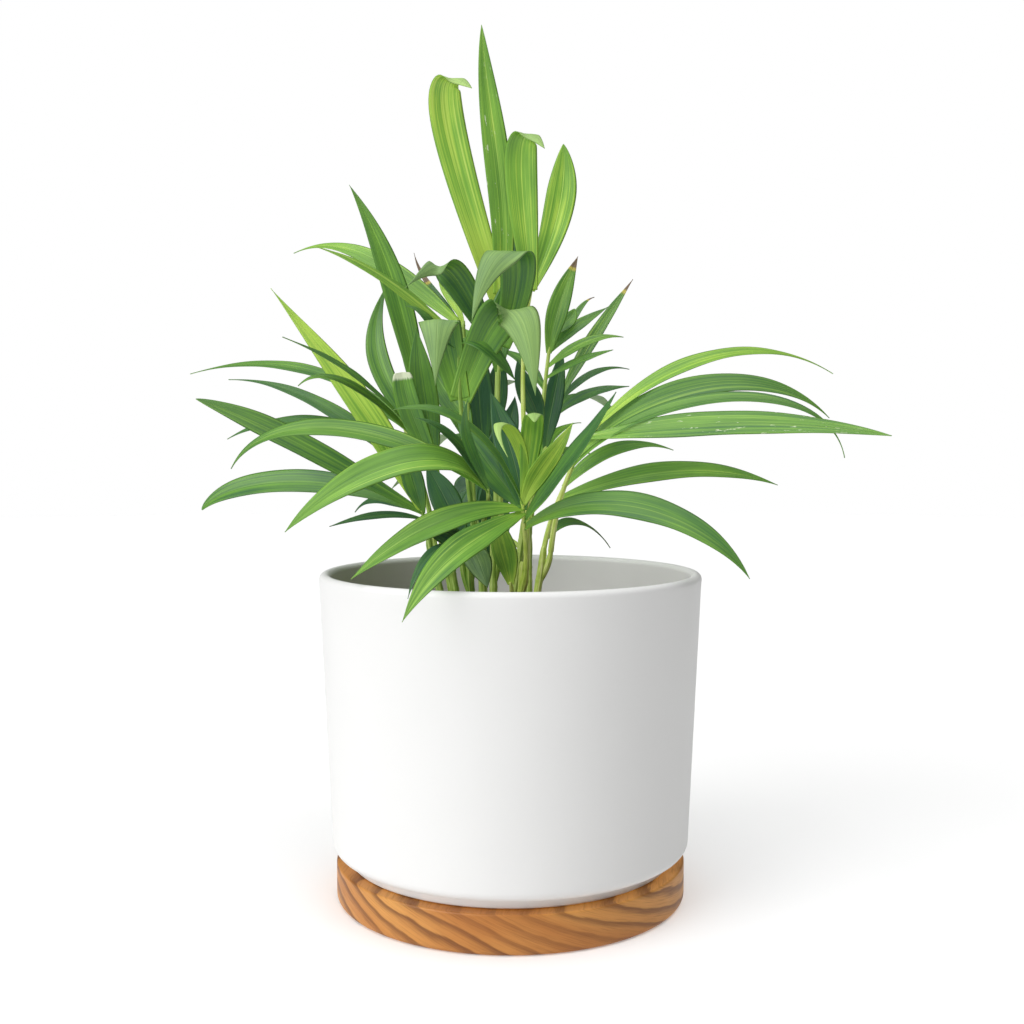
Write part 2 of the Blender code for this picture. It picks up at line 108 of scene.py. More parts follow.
class Finish:
    # One material under construction: any node by type, settings and inputs
    def __init__(self, name, **fixed):
        self.material = bpy.data.materials.new(name)
        self.material.use_nodes = True
        self.tree = self.material.node_tree
        self.shader = self.tree.nodes["Principled BSDF"]
        for socket, value in fixed.items():
            self.shader.inputs[socket].default_value = value

    def node(self, kind, output, settings=None, **inputs):
        made = self.tree.nodes.new(kind)
        for key, value in (settings or {}).items():
            setattr(made, key, value)
        for key, value in inputs.items():
            plug(self.tree, made.inputs[key.replace("_", " ")], value)
        return Signal(self.tree, made.outputs[output])

    def attribute(self, name):
        return self.node("ShaderNodeAttribute", "Fac", {"attribute_name": name})

    def place(self):
        return self.node("ShaderNodeTexCoord", "Object")

    def parts(self, vector):
        made = self.tree.nodes.new("ShaderNodeSeparateXYZ")
        plug(self.tree, made.inputs[0], vector)
        return [Signal(self.tree, out) for out in made.outputs]

    def vector(self, x, y, z):
        return self.node("ShaderNodeCombineXYZ", "Vector", X=x, Y=y, Z=z)

    def noise(self, vector, scale, detail=2.0, roughness=0.5, distortion=0.0):
        return self.node("ShaderNodeTexNoise", "Fac", Vector=vector,
                         Scale=scale, Detail=detail, Roughness=roughness,
                         Distortion=distortion)

    def mix(self, factor, first, second):
        made = self.tree.nodes.new("ShaderNodeMix")
        made.data_type = "RGBA"
        plug(self.tree, made.inputs["Factor"], factor)
        plug(self.tree, made.inputs["A"], first)
        plug(self.tree, made.inputs["B"], second)
        return Signal(self.tree, made.outputs["Result"])

    def blend(self, factor, stops):
        # A colour ramp through the stops, as (place, colour) pairs
        made = self.tree.nodes.new("ShaderNodeValToRGB")
        ramp = made.color_ramp
        while len(ramp.elements) < len(stops):
            ramp.elements.new(0.5)
        for element, (position, colour) in zip(ramp.elements, stops):
            element.position = position
            element.color = colour
        plug(self.tree, made.inputs["Fac"], factor)
        return Signal(self.tree, made.outputs["Color"])

    def set(self, socket, value):
        plug(self.tree, self.shader.inputs[socket], value)

    def bump(self, height, distance, strength=1.0):
        self.set("Normal", self.node("ShaderNodeBump", "Normal", Height=height,
                                     Distance=distance, Strength=strength))


def rgb(red, green, blue):
    # A linear colour from the 0 to 255 values seen on screen
    def linear(value):
        value /= 255
        return value / 12.92 if value <= 0.04045 else ((value + 0.055) / 1.055) ** 2.4
    return (linear(red), linear(green), linear(blue), 1)


# Surfaces: rings of points, carried along a path or turned round the axis

def ringFaces(rings, around):
    # Quads between neighbouring rings, with both ends closed by one face
    ring = np.arange(rings - 1)[:, None] * around
    step = np.arange(around)[None, :]
    after = (step + 1) % around
    quads = np.stack([ring + step, ring + after, ring + around + after,
                      ring + around + step], -1).reshape(-1, 4)
    faces = [tuple(quad) for quad in quads.tolist()]
    last = (rings - 1) * around
    faces.append(tuple(range(around))[::-1])
    faces.append(tuple(range(last, last + around)))
    return faces


class Batch:
    # Collects surfaces of one piece, with their pattern coordinates and marks
    def __init__(self):
        self.points, self.pattern, self.faces = [], [], []
        self.marks, self.slots, self.count = {}, [], 0

    def add(self, rings, pattern, slot=0, **marks):
        rows, around = rings.shape[:2]
        faces = ringFaces(rows, around)
        self.points.append(rings.reshape(-1, 3))
        self.pattern.append(pattern.reshape(-1, 2))
        self.faces += [tuple(i + self.count for i in face) for face in faces]
        self.count += rows * around
        self.slots += [slot] * len(faces)
        for name, value in marks.items():
            values = np.full(len(faces), 0.0)
            values[:] = value if np.ndim(value) == 0 else np.resize(value, len(faces))
            self.marks.setdefault(name, []).append(values)

    def build(self, name, materials):
        mesh = bpy.data.meshes.new(name)
        mesh.from_pydata(np.concatenate(self.points).tolist(), [], self.faces)
        corners = np.empty(len(mesh.loops), int)
        mesh.loops.foreach_get("vertex_index", corners)
        layer = mesh.uv_layers.new(name="pattern")
        layer.uv.foreach_set("vector", np.concatenate(self.pattern)[corners].ravel())
        for mark, values in self.marks.items():
            made = mesh.attributes.new(mark, "FLOAT", "FACE")
            made.data.foreach_set("value", np.concatenate(values))
        for material in materials:
            mesh.materials.append(material)
        mesh.polygons.foreach_set("material_index", self.slots)
        mesh.polygons.foreach_set("use_smooth", [True] * len(mesh.polygons))
        mesh.update()
        piece = bpy.data.objects.new(name, mesh)
        bpy.context.scene.collection.objects.link(piece)
        return piece


def place(piece, slot, *nodes):
    # Every piece rides on the one body and stands in for its CAD node
    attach(piece, "root")
    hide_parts(*nodes)
    triangles = sum(len(face.vertices) - 2 for face in piece.data.polygons)
    print(piece.name, triangles, "triangles")


def turned(profile, steps):
    # x = radius times cos, y = radius times sin, z = height, from the
    # profile's lower end to its upper one
    radius, height = np.array(profile, float).T
    angle = np.linspace(0, 2 * math.pi, steps, endpoint=False)
    rings = np.stack([radius[:, None] * np.cos(angle), radius[:, None] * np.sin(angle),
                      np.repeat(height[:, None], steps, 1)], -1)
    return rings[::-1] * mm


def corner(x, z, radius, start, end, steps):
    # Arc about (x, z): x + radius times cos, z + radius times sin, in degrees
    angles = np.radians(np.linspace(start, end, steps))
    return [(x + radius * math.cos(a), z + radius * math.sin(a)) for a in angles]


# Wood, ceramic and soil

saucer = {"radius": 73.5, "height": 15.9, "topRound": 0.8, "bottomRound": 2.4, "steps": 192,
          "light": rgb(206, 146, 74), "warm": rgb(170, 104, 44), "dark": rgb(84, 36, 12),
          "layerAcross": 0.44, "layerDeep": -0.06, "layerStep": 0.0068,
          "layerBend": 2.4, "layerDepth": 0.72, "fibreDepth": 0.28, "relief": 0.00012}

pot = {"rim": 80.0, "base": 74.7, "height": 120.2, "bottom": 16.2, "wall": 4.8,
       "floor": 6.0, "floorRound": 4.2, "edge": 4.2, "foot": 68.2, "footHeight": 4.2,
       "footWidth": 6.0, "recess": 1.8, "steps": 192,
       "glaze": rgb(228, 228, 227), "worn": rgb(222, 222, 221), "relief": 0.00006}

soil = {"belowRim": 22.5, "lump": 1.1, "chips": 260, "gap": 0.4, "steps": 160,
        "waves": 26, "waveShort": 2.4, "waveLong": 14, "chipSmall": 0.7, "chipBig": 2.2,
        "dark": rgb(46, 32, 24), "light": rgb(104, 80, 60),
        "chipPale": rgb(150, 112, 78), "chipDark": rgb(92, 62, 42), "relief": 0.0009}


def saucerFinish():
    # Growth layers lie in tilted planes: each darkens slowly, then ends sharply
    finish = Finish("oiled_wood")
    finish.set("Specular IOR Level", 0.4)
    x, y, z = finish.parts(finish.place())
    layer = z + x * saucer["layerAcross"] + y * saucer["layerDeep"]
    slow = finish.noise(finish.vector(x * 16, y * 16, z * 30), 1.0, 3.0)
    broad = finish.noise(finish.vector(x * 6, y * 6, layer * 60), 1.0, 2.0)
    fibre = finish.noise(finish.vector(x * 90, y * 90, layer * 2400), 1.0, 3.0, 0.6)
    growth = (layer / saucer["layerStep"] + slow * saucer["layerBend"] + fibre * 0.3).math("FRACT")
    late = growth.ramp(0.34, 0.88) * growth.ramp(1.0, 0.9) * (0.5 + broad.ramp(0.34, 0.6) * 0.5)
    colour = finish.blend(slow * 0.5 + broad * 0.5, [(0.36, saucer["warm"]), (0.6, saucer["light"])])
    colour = finish.mix(late * saucer["layerDepth"], colour, saucer["dark"])
    colour = finish.mix(fibre.ramp(0.45, 0.75) * saucer["fibreDepth"], colour, saucer["dark"])
    finish.set("Base Color", colour)
    finish.set("Roughness", 0.38 + fibre * 0.2)
    finish.bump(fibre + late * 0.6, saucer["relief"], 0.5)
    return finish.material


def potFinish():
    # Two near whites in soft clouds, with a very fine grain
    finish = Finish("matte_ceramic")
    where = finish.place()
    cloud = finish.noise(where, 14.0, 3.0)
    speck = finish.noise(where, 900.0, 2.0)
    colour = finish.mix(cloud, pot["glaze"], pot["worn"])
    finish.set("Base Color", colour)
    finish.set("Roughness", 0.5 + speck * 0.12)
    finish.bump(speck + cloud * 2, pot["relief"], 0.5)
    return finish.material


def soilFinish():
    # Dark and light crumbs in patches, with paler bark chips
    finish = Finish("potting_mix")
    where = finish.place()
    crumb = finish.noise(where, 420.0, 4.0, 0.65)
    patch = finish.noise(where, 60.0, 2.0)
    chip = finish.attribute("chip")
    colour = finish.blend(crumb * 0.7 + patch * 0.3,
                          [(0.35, soil["dark"]), (0.7, soil["light"])])
    colour = finish.mix(chip, colour, finish.mix(patch, soil["chipPale"], soil["chipDark"]))
    finish.set("Base Color", colour)
    finish.set("Roughness", 0.86 + crumb * 0.12)
    finish.bump(crumb, soil["relief"], 0.8)
    return finish.material


def wallRadius(z):
    # The pot's outside widens evenly from its base to its rim
    return pot["base"] + (pot["rim"] - pot["base"]) * (z - pot["bottom"]) / pot["height"]


def makeSaucer():
    # A turned disc: flat top, small upper round, larger lower round, flat foot
    top, low = saucer["topRound"], saucer["bottomRound"]
    profile = ([(pole, saucer["height"])]
               + [(r, saucer["height"]) for r in np.linspace(6, saucer["radius"] - top, 12)]
               + corner(saucer["radius"] - top, saucer["height"] - top, top, 80, 0, 6)
               + corner(saucer["radius"] - low, low, low, 0, -90, 8)
               + [(r, 0) for r in np.linspace(saucer["radius"] - low - 6, 6, 8)]
               + [(pole, 0)])
    rings = turned(profile, saucer["steps"])
    batch = Batch()
    batch.add(rings, rings[..., :2] / mm)
    place(batch.build("woodSaucer", [saucerFinish()]), "saucer_wood", "saucer")


def makePot():
    # A turned cup: floor, inner wall, half-round lip, outer wall, rounded lower
    # edge, foot ring and the recess under it
    top, floor = pot["bottom"] + pot["height"], pot["bottom"] + pot["floor"]
    lip, edge = pot["wall"] / 2, pot["edge"]
    edgeTop = pot["bottom"] + pot["footHeight"]
    footInner = pot["foot"] - pot["footWidth"]
    inside = [(wallRadius(z) - pot["wall"], z) for z in np.linspace(floor + 5, top - 6, 18)]
    outside = [(wallRadius(z), z) for z in np.linspace(top - 6, edgeTop + edge + 1, 22)]
    profile = ([(pole, floor), (30, floor), (wallRadius(floor) - pot["wall"] - 5, floor)]
               + corner(wallRadius(floor) - pot["wall"] - 4.5, floor + 4.5, pot["floorRound"], -80, -5, 6)
               + inside + corner(pot["rim"] - lip, top - lip, lip, 180, 0, 15) + outside
               + corner(wallRadius(edgeTop + edge) - edge, edgeTop + edge, edge, 0, -90, 10)
               + corner(pot["foot"] + 0.6, edgeTop - 0.6, 0.6, 90, 180, 4)
               + corner(pot["foot"] - 0.7, pot["bottom"] + 0.7, 0.7, 0, -90, 4)
               + [(footInner, pot["bottom"]),
                  (footInner - pot["recess"], pot["bottom"] + pot["recess"]),
                  (30, pot["bottom"] + pot["recess"]), (pole, pot["bottom"] + pot["recess"])])
    rings = turned(profile, pot["steps"])
    batch = Batch()
    batch.add(rings, rings[..., :2] / mm)
    place(batch.build("ceramicPot", [potFinish()]), "pot_ceramic", "pot")


def makeSoil():
    # A turned body. Its top is a sum of level sine waves, each as high as the
    # square root of its length, fading out at the wall, with loose chips
    rng = np.random.default_rng(7)
    top = pot["bottom"] + pot["height"] - soil["belowRim"]
    bottom = pot["bottom"] + pot["floor"] + soil["gap"]
    inset = pot["wall"] + soil["gap"]
    reach = wallRadius(top) - inset
    radii = np.concatenate([[pole], np.linspace(1.2, reach, 62)])
    profile = [(r, top) for r in radii]
    profile += [(wallRadius(z) - inset, z) for z in np.linspace(top - 3, bottom + 5, 6)]
    profile += [(wallRadius(bottom) - pot["wall"] - 5, bottom), (30, bottom), (pole, bottom)]
    rings = turned(profile, soil["steps"])
    surface = rings[-len(radii):]
    x, y = surface[..., 0] / mm, surface[..., 1] / mm
    height = np.zeros(x.shape)
    for _ in range(soil["waves"]):
        turn = rng.uniform(0, math.pi)
        length = rng.uniform(soil["waveShort"], soil["waveLong"])
        phase = rng.uniform(0, 6.3)
        wave = np.sin((x * math.cos(turn) + y * math.sin(turn)) * 2 * math.pi / length + phase)
        height += wave * length ** 0.5
    height = height / height.std() * soil["lump"] * 0.4
    fade = np.clip((reach - np.hypot(x, y)) / 4, 0, 1)
    surface[..., 2] += (height * fade - soil["lump"] * 0.8) * mm
    batch = Batch()
    batch.add(rings, rings[..., :2] / mm, chip=0.0)
    level = top * mm - 0.0006
    for _ in range(soil["chips"]):
        across, turn = reach * 0.95 * math.sqrt(rng.random()), rng.uniform(0, 6.3)
        size = rng.uniform(soil["chipSmall"], soil["chipBig"])
        spread = np.linspace(0, 2 * math.pi, 7, endpoint=False)
        rounds = np.sin(np.linspace(0.05, 3.09, 5))
        lump = np.stack([np.outer(rounds, np.cos(spread)), np.outer(rounds, np.sin(spread)) * 0.7,
                         np.repeat(np.cos(np.linspace(0.05, 3.09, 5))[:, None], 7, 1) * -0.45], -1)
        lump *= size * rng.uniform(0.8, 1.2, lump.shape)
        spin = np.array(Matrix.Rotation(rng.uniform(0, 6.3), 3, "Z"))
        lump = lump @ spin.T + [across * math.cos(turn), across * math.sin(turn), 0]
        batch.add(lump * mm + [0, 0, level], lump[..., :2], chip=1.0)
    place(batch.build("pottingMix", [soilFinish()]), "potting_soil", "soil")


makeSaucer()
makePot()
makeSoil()
print("pot, saucer and soil made")

# The plant's measures in millimetres, angles in degrees. A compass angle is
# turned from +X towards +Y, and a pitch is measured up from level.

plant = {"stemRadius": 1.9, "stemTip": 1.5, "petiole": 1.25, "rachisTip": 0.75,
         "clearance": 0.3, "keel": 0.10, "blade": 0.42, "bladeEdge": 0.1,
         "pleat": 0.05, "ripple": 0.035, "twist": 0.10, "leastHalf": 0.12,
         "nodes": (0.1, 0.22, 0.37, 0.55, 0.76), "nodeHeight": 0.16, "nodeLength": 0.012,
         "across": 14, "along": 56, "round": 16, "sheath": 0.42}


def leaf(at, tip, rise, fall, width, turn=0, lean=None, hold=0.38, curl=0.33,
         belly=0.42, taper=1.0, root=0.25, tone=0.5, stripe=0.0, burn=0.0, scar=0.0):
    # at: where it leaves the rachis, from 0 at the foot to 1 at the end
    # rise, fall: pitch at the root and at the tip, or (compass, pitch)
    # turn: roll of the blade; lean: compass direction the blade leans to
    # hold, curl: how far root and tip run straight on, as a share of the span
    # belly: where it is widest; taper: under 1 blunt, over 1 drawn out
    # tone: 0 deep to 1 lime, its lowest values, set on leaves inside the crown,
    # partly painted shade; stripe: pale stripes; burn: dead share at the tip,
    # a torn one under 0.05; scar: pale scratches
    return dict(at=at, tip=tip, rise=rise, fall=fall, width=width, turn=turn,
                lean=lean, hold=hold, curl=curl, belly=belly, taper=taper,
                root=root, tone=tone, stripe=stripe, burn=burn, scar=scar)


# Stems: foot on the soil, top, and tone from 0 deep green to 1 pale
stems = {
    "stem_1": dict(foot=(-27, -15), top=(-34, -9, 151), tone=0.15),
    "stem_2": dict(foot=(-22, -1), top=(-27, 2, 150), tone=0.25),
    "stem_3": dict(foot=(-16, -12), top=(-18, -11, 152), tone=0.1),
    "stem_4": dict(foot=(-11, -4), top=(-12, -8, 150), tone=0.3),
    "stem_5": dict(foot=(-7, -15), top=(-7, -10, 160), tone=0.35),
    "stem_6": dict(foot=(4, -18), top=(5, -20, 142), tone=0.85),
    "stem_7": dict(foot=(10, -8), top=(14, -5, 147), tone=0.8),
    "stem_8": dict(foot=(1, 8), top=(6, 11, 158), tone=0.45),
    "stem_9": dict(foot=(-12, 16), top=(-14, 22, 160), tone=0.3),
    "stem_10": dict(foot=(8, 20), top=(8, 28, 152), tone=0.55),
    "stem_11": dict(foot=(-24, 9), top=(-30, 12, 150), tone=0.3),
}

# Fronds: the stem each one leaves, how far up it, on which side,
# the end of its rachis and the way it points there
fronds = {
    # The two tallest fronds, forked at the top
    "frond_1": dict(
        stem="stem_5", foot=0.9, side=70, end=(-4, 12, 255), way=(0, 86),
        leaves=[
            leaf(0.96, (-16, 0, 337), (180, 71), (330, -40), 14.5, lean=90, hold=0.98, curl=0.30,
                 belly=0.45, taper=0.8, root=0.6, tone=0.86, stripe=0.8),
            leaf(1.0, (-12, 4, 364), (0, 84), (180, 87), 11, lean=90, belly=0.45, taper=0.8, root=0.6,
                 tone=0.72, stripe=0.5, scar=0.7),
            leaf(0.98, (0, 24, 290), (0, 82), (60, 80), 9, lean=90, tone=0.25),
        ]),
    "frond_2": dict(
        stem="stem_6", foot=0.92, side=60, end=(9, 4, 256), way=(0, 78),
        leaves=[
            leaf(1.0, (14, -6, 311), (180, 85), (315, -50), 13.8, lean=90, hold=0.62, curl=0.58,
                 belly=0.5, taper=0.8, root=0.4, tone=0.74, stripe=0.3),
            leaf(0.99, (22.5, 12, 317), (0, 67), (180, 86), 12.8, lean=90, belly=0.62, taper=0.75,
                 tone=0.76, stripe=0.3),
        ]),
    # Broad forked fronds whose lobes fold over and hang
    "frond_3": dict(
        stem="stem_5", foot=0.8, side=350, end=(-4, 0, 232), way=(0, 84),
        leaves=[
            leaf(1.0, (-15.4, -27, 238), (0, 70), (235, -72), 16.5, lean=90, hold=1.8, curl=1.4,
                 belly=0.45, taper=1.1, root=0.5, tone=0.45),
            leaf(0.92, (-43, -14, 253), (180, 62), (188, -42), 13, lean=110, hold=0.95, curl=0.5,
                 belly=0.4, taper=1.4, tone=0.38),
            leaf(0.85, (2, 6, 262), (180, 86), (0, 80), 13, lean=90, belly=0.55, taper=0.6, tone=0.35),
        ]),
    "frond_4": dict(
        stem="stem_3", foot=0.9, side=20, end=(-21, -10, 233), way=(0, 88),
        leaves=[
            leaf(0.7, (-30, -26, 213), (170, 75), (260, -80), 17, lean=90, hold=2.2, curl=2.0,
                 belly=0.5, taper=1.1, root=0.5, tone=0.45),
            leaf(0.7, (10, -26, 209), (0, 70), (300, -80), 18.5, lean=90, hold=1.5, curl=1.35,
                 belly=0.5, taper=1.0, root=0.5, tone=0.6),
            leaf(0.98, (2, -12, 216), (340, 20), (0, -50), 9, turn=40, tone=0.35),
            leaf(0.95, (-43, -13, 246), 20, 0, 5, turn=-50, tone=0.3),
        ]),
    # Left side, upper
    "frond_5": dict(
        stem="stem_4", foot=0.9, side=150, end=(-20, 8, 242), way=(120, 86),
        leaves=[
            leaf(0.97, (-98, 45, 276), 38, -18, 10, turn=-45, taper=1.2, tone=0.72, stripe=0.9),
            leaf(0.9, (-79, -12, 270), 36, 15, 10, turn=-40, taper=1.2, tone=0.8, stripe=0.9),
            leaf(1.0, (-31, 18, 263), 70, 80, 4, lean=90, tone=0.95),
            leaf(0.94, (-42, 24, 273), 60, 75, 3, lean=90, tone=0.3, burn=0.35),
            leaf(0.5, (-33, 13, 224), (170, 72), (170, 80), 12, lean=90, tone=0.4),
        ]),
    "frond_6": dict(
        stem="stem_2", foot=0.95, side=60, end=(-37, 6, 203), way=(160, 78),
        leaves=[
            leaf(1.0, (-68, 8, 299), (170, 80), (170, 58), 11, lean=90, belly=0.45, tone=0.55),
            leaf(0.7, (-54, 24, 259), (180, 54), (0, 68), 9.5, lean=90, hold=0.5, curl=0.38, belly=0.5,
                 tone=0.42),
            leaf(0.92, (-49, 30, 246), (150, 78), (120, 80), 5, lean=90, tone=0.25),
            leaf(0.6, (-39, -6, 238), (230, 78), (180, 86), 12, lean=90, belly=0.5, tone=0.5),
        ]),
    "frond_7": dict(
        stem="stem_11", foot=0.95, side=170, end=(-48, 24, 202), way=(150, 70),
        leaves=[
            leaf(1.0, (-152, 70, 223), 35, -12, 8, turn=-30, taper=1.4, tone=0.5, stripe=0.3),
            leaf(0.5, (-128, 44, 219), 37, 0, 9, turn=-35, taper=1.3, tone=0.3),
            leaf(0.72, (-128, 40, 192), 20, -28, 10, turn=-40, tone=0.32),
            leaf(0.9, (-80, 90, 200), 25, -20, 11, turn=-10, tone=0.4),
            leaf(0.65, (-62, 92, 180), 16, -28, 10, turn=-10, tone=0.35),
        ]),
    "frond_8": dict(
        stem="stem_3", foot=0.75, side=200, end=(-44, -12, 200), way=(180, 66),
        leaves=[
            leaf(1.0, (-90, -30, 232), 46, 20, 8, turn=-25, taper=1.5, tone=0.4),
            leaf(0.88, (-85, -24, 213), 46, -45, 8, turn=-30, tone=0.55),
            leaf(0.5, (-44, -16, 219), (180, 76), (180, 86), 10, lean=90, belly=0.7, taper=0.15,
                 tone=0.45, burn=0.03),
        ]),
    # Left side, lower
    "frond_9": dict(
        stem="stem_1", foot=0.95, side=90, end=(-37, -6, 162), way=(170, 70),
        leaves=[
            leaf(1.0, (-102, 10, 256), 65, 50, 12, turn=-60, belly=0.35, taper=1.2, tone=0.92, stripe=0.5),
            leaf(0.9, (-45, -4, 192), (180, 76), (180, 80), 9, lean=90, tone=0.35),
            leaf(0.96, (-127, -20, 208), 29, 20, 13, turn=-50, belly=0.6, taper=0.7, root=0.15,
                 tone=0.42, stripe=0.3),
            leaf(0.92, (-135, 20, 161), 28, -50, 12, turn=-55, curl=0.2, belly=0.55, taper=0.5,
                 root=0.15, tone=0.42),
            leaf(0.98, (-68, 20, 160), 14, -45, 5, turn=-50, taper=0.6, tone=0.15),
            leaf(0.7, (-72, -30, 157), 16, -14, 4.4, turn=-40, tone=0.15),
        ]),
    # Front, low and wide
    "frond_10": dict(
        stem="stem_4", foot=0.95, side=270, end=(-9, -31, 172), way=(260, 60),
        leaves=[
            leaf(0.95, (-84, -62, 157), 58, -45, 15, turn=-42, hold=0.4, tone=0.62, stripe=0.5),
            leaf(1.0, (-110, -34, 180), 38, -62, 12, turn=-38, hold=0.44, curl=0.28, tone=0.5, stripe=0.6),
            leaf(0.98, (-37, -36, 200), 60, 12, 8, turn=-40, tone=0.28),
            leaf(1.0, (-16, -52, 207), (200, 70), (30, 70), 4.5, lean=90, tone=0.3),
        ]),
    "frond_11": dict(
        stem="stem_6", foot=0.9, side=300, end=(5, -28, 166), way=(270, 80),
        leaves=[
            leaf(0.92, (-60, -58, 139), 5, -36, 12.5, turn=-38, tone=0.62, stripe=0.9),
            leaf(0.86, (-37, -102, 129), -12, -44, 13, turn=-22, hold=0.4, tone=0.6, stripe=0.6),
            leaf(0.62, (92, -48, 138), 36, -58, 13.5, turn=45, tone=0.45, stripe=0.3),
            leaf(0.72, (41, -40, 210), 52, 60, 14, turn=40, belly=0.35, tone=0.2),
            leaf(0.96, (-22, -16, 200), 45, 50, 13, turn=-60, tone=0.25),
            leaf(0.9, (-8, -18, 211), (180, 84), (160, 70), 13, lean=90, tone=0.1),
            leaf(1.0, (-45, -44, 203), 66, -12, 9, turn=-30, hold=0.5, tone=0.45, stripe=0.4),
            # The young leaflets in the middle
            leaf(1.0, (24, -46, 198), (0, 70), (0, 60), 9, lean=90, tone=0.9, stripe=0.3),
            leaf(1.0, (9, -58, 198), (0, 82), (270, -40), 9, lean=90, hold=0.7, curl=0.35, taper=0.6,
                 tone=0.82),
            leaf(1.0, (-1, -64, 185), (20, 80), (320, -55), 5.5, lean=90, hold=0.8, curl=0.7, tone=0.97),
        ]),
    "frond_12": dict(
        stem="stem_6", foot=0.3, side=165, end=(0, -22, 134), way=(180, 82),
        leaves=[
            leaf(0.9, (-7, -27, 164), (180, 84), (180, 76), 10, lean=90, tone=0.75),
        ]),
    # Right side
    "frond_13": dict(
        stem="stem_7", foot=0.95, side=0, end=(38, 0, 199), way=(0, 48),
        leaves=[
            leaf(0.86, (150, -34, 193), 8, -10, 12.5, turn=55, belly=0.38, taper=0.8, tone=0.55,
                 stripe=0.4, scar=0.7),
            leaf(0.7, (138, 16, 201), 48, -44, 12, turn=45, hold=0.38, tone=0.42, stripe=0.4),
            leaf(0.6, (139, -6, 184), 51, -80, 8, turn=35, hold=0.4, taper=1.5, tone=0.4, stripe=0.3),
            leaf(0.98, (148, 50, 222), 42, -26, 9.5, turn=32, taper=1.3, tone=0.78, stripe=0.3),
            leaf(0.9, (72, 88, 203), 22, -15, 10, tone=0.4),
        ]),
    "frond_14": dict(
        stem="stem_7", foot=0.8, side=90, end=(23, 6, 172), way=(30, 60),
        leaves=[
            leaf(0.8, (116, 16, 172), 21, -20, 11, turn=45, tone=0.52, stripe=0.3),
            leaf(1.0, (75, 50, 187), 40, -14, 9, turn=25, tone=0.45),
            leaf(0.25, (45, 36, 143), 48, -45, 6, turn=30, tone=0.4),
        ]),
    # Upper right, behind
    "frond_15": dict(
        stem="stem_8", foot=0.95, side=20, end=(18, 30, 238), way=(40, 80),
        leaves=[
            leaf(0.9, (30, 34, 273), (0, 82), (0, 66), 9.5, lean=90, tone=0.5, stripe=0.9, burn=0.12),
            leaf(1.0, (29, 44, 251), 55, 70, 8, turn=40, taper=0.6, tone=0.45),
            leaf(0.9, (45, 56, 253), 42, 25, 6, turn=35, tone=0.38),
            leaf(0.82, (50, 30, 237), 40, -8, 7, turn=35, tone=0.55, stripe=0.4),
            leaf(0.76, (45, 24, 231), 32, 15, 6, turn=35, tone=0.5),
            leaf(0.7, (-12, 78, 235), 40, 0, 9, tone=0.4),
            leaf(0.6, (-6, 92, 215), 30, -20, 9, tone=0.45),
            leaf(0.5, (3, 14, 226), (180, 80), (180, 84), 10, lean=90, tone=0.08),
            leaf(0.93, (39, 60, 258), 22, 12, 3.6, turn=30, tone=0.4, burn=0.12),
        ]),
    "frond_16": dict(
        stem="stem_8", foot=0.8, side=90, end=(23, 40, 212), way=(50, 70),
        leaves=[
            leaf(1.0, (56, 50, 265), 63, 54, 6.5, turn=50, tone=0.42, stripe=0.9, burn=0.1),
            leaf(0.95, (56, 66, 225), 45, -8, 4.5, turn=30, tone=0.2),
            leaf(0.85, (54, 44, 216), 45, 5, 7, turn=35, tone=0.25),
            leaf(0.6, (23, 36, 232), (0, 84), (0, 84), 9, lean=90, taper=0.8, tone=0.08),
            leaf(0.9, (52, 100, 205), 25, -20, 10, tone=0.4),
            leaf(0.8, (20, 112, 192), 30, -35, 10, tone=0.45),
        ]),
    # Leaves low in the middle: their deep tones are partly their own green, partly painted shade from the
    # crown above
    "frond_17": dict(
        stem="stem_3", foot=0.7, side=270, end=(-19, -23, 149), way=(250, 60),
        leaves=[
            leaf(1.0, (-37, -78, 134), 8, -56, 4.5, turn=-20, tone=0.1),
            leaf(0.95, (-34, -17, 181), (180, 74), (180, 60), 12, lean=90, belly=0.5, taper=0.8, tone=0.12),
            leaf(0.9, (-40, -37, 158), 48, 0, 12, lean=90, tone=0.2, stripe=0.3),
            leaf(0.82, (-9, -34, 133), 14, -62, 11, lean=90, tone=0.24),
            leaf(1.0, (-11, -33, 158), 50, 10, 9, lean=90, belly=0.5, tone=0.3),
        ]),
    # Leaves hanging behind in the crown's shade: their lowest tones are mostly painted shade
    "frond_18": dict(
        stem="stem_9", foot=0.7, side=270, end=(-12, 13, 172), way=(270, 50),
        leaves=[
            leaf(0.95, (-20, 6, 140), (250, 20), (260, -80), 11, tone=0.1),
            leaf(1.0, (-9, 5, 142), (280, 20), (270, -80), 11, tone=0.05),
            leaf(0.9, (-2, 3, 150), (320, 30), (280, -75), 9, tone=0.1),
            leaf(0.97, (-25, 13, 166), (190, 22), (195, -40), 13, turn=-60, tone=0.08),
            leaf(0.85, (-27, 9, 150), (200, 20), (240, -70), 11, turn=-30, tone=0.08),
        ]),
    # Back
    "frond_19": dict(
        stem="stem_9", foot=0.95, side=120, end=(-17, 40, 186), way=(110, 60),
        leaves=[
            leaf(0.9, (-42, 112, 182), 30, -35, 11, tone=0.45),
            leaf(1.0, (-20, 120, 196), 35, -30, 11, tone=0.5),
            leaf(0.8, (-58, 84, 168), 20, -30, 10, tone=0.35),
            leaf(0.95, (4, 100, 172), 25, -40, 11, tone=0.4),
            leaf(0.98, (-38, 72, 214), 55, 10, 9, tone=0.55, stripe=0.4),
        ]),
    "frond_20": dict(
        stem="stem_10", foot=0.95, side=80, end=(8, 46, 178), way=(80, 60),
        leaves=[
            leaf(1.0, (22, 122, 168), 32, -40, 11, tone=0.5),
            leaf(0.85, (40, 92, 184), 30, -25, 10, tone=0.55, stripe=0.4),
            leaf(0.8, (-6, 108, 154), 15, -40, 11, tone=0.35),
            leaf(0.95, (34, 76, 200), 50, 0, 8, tone=0.6),
        ]),
    "frond_21": dict(
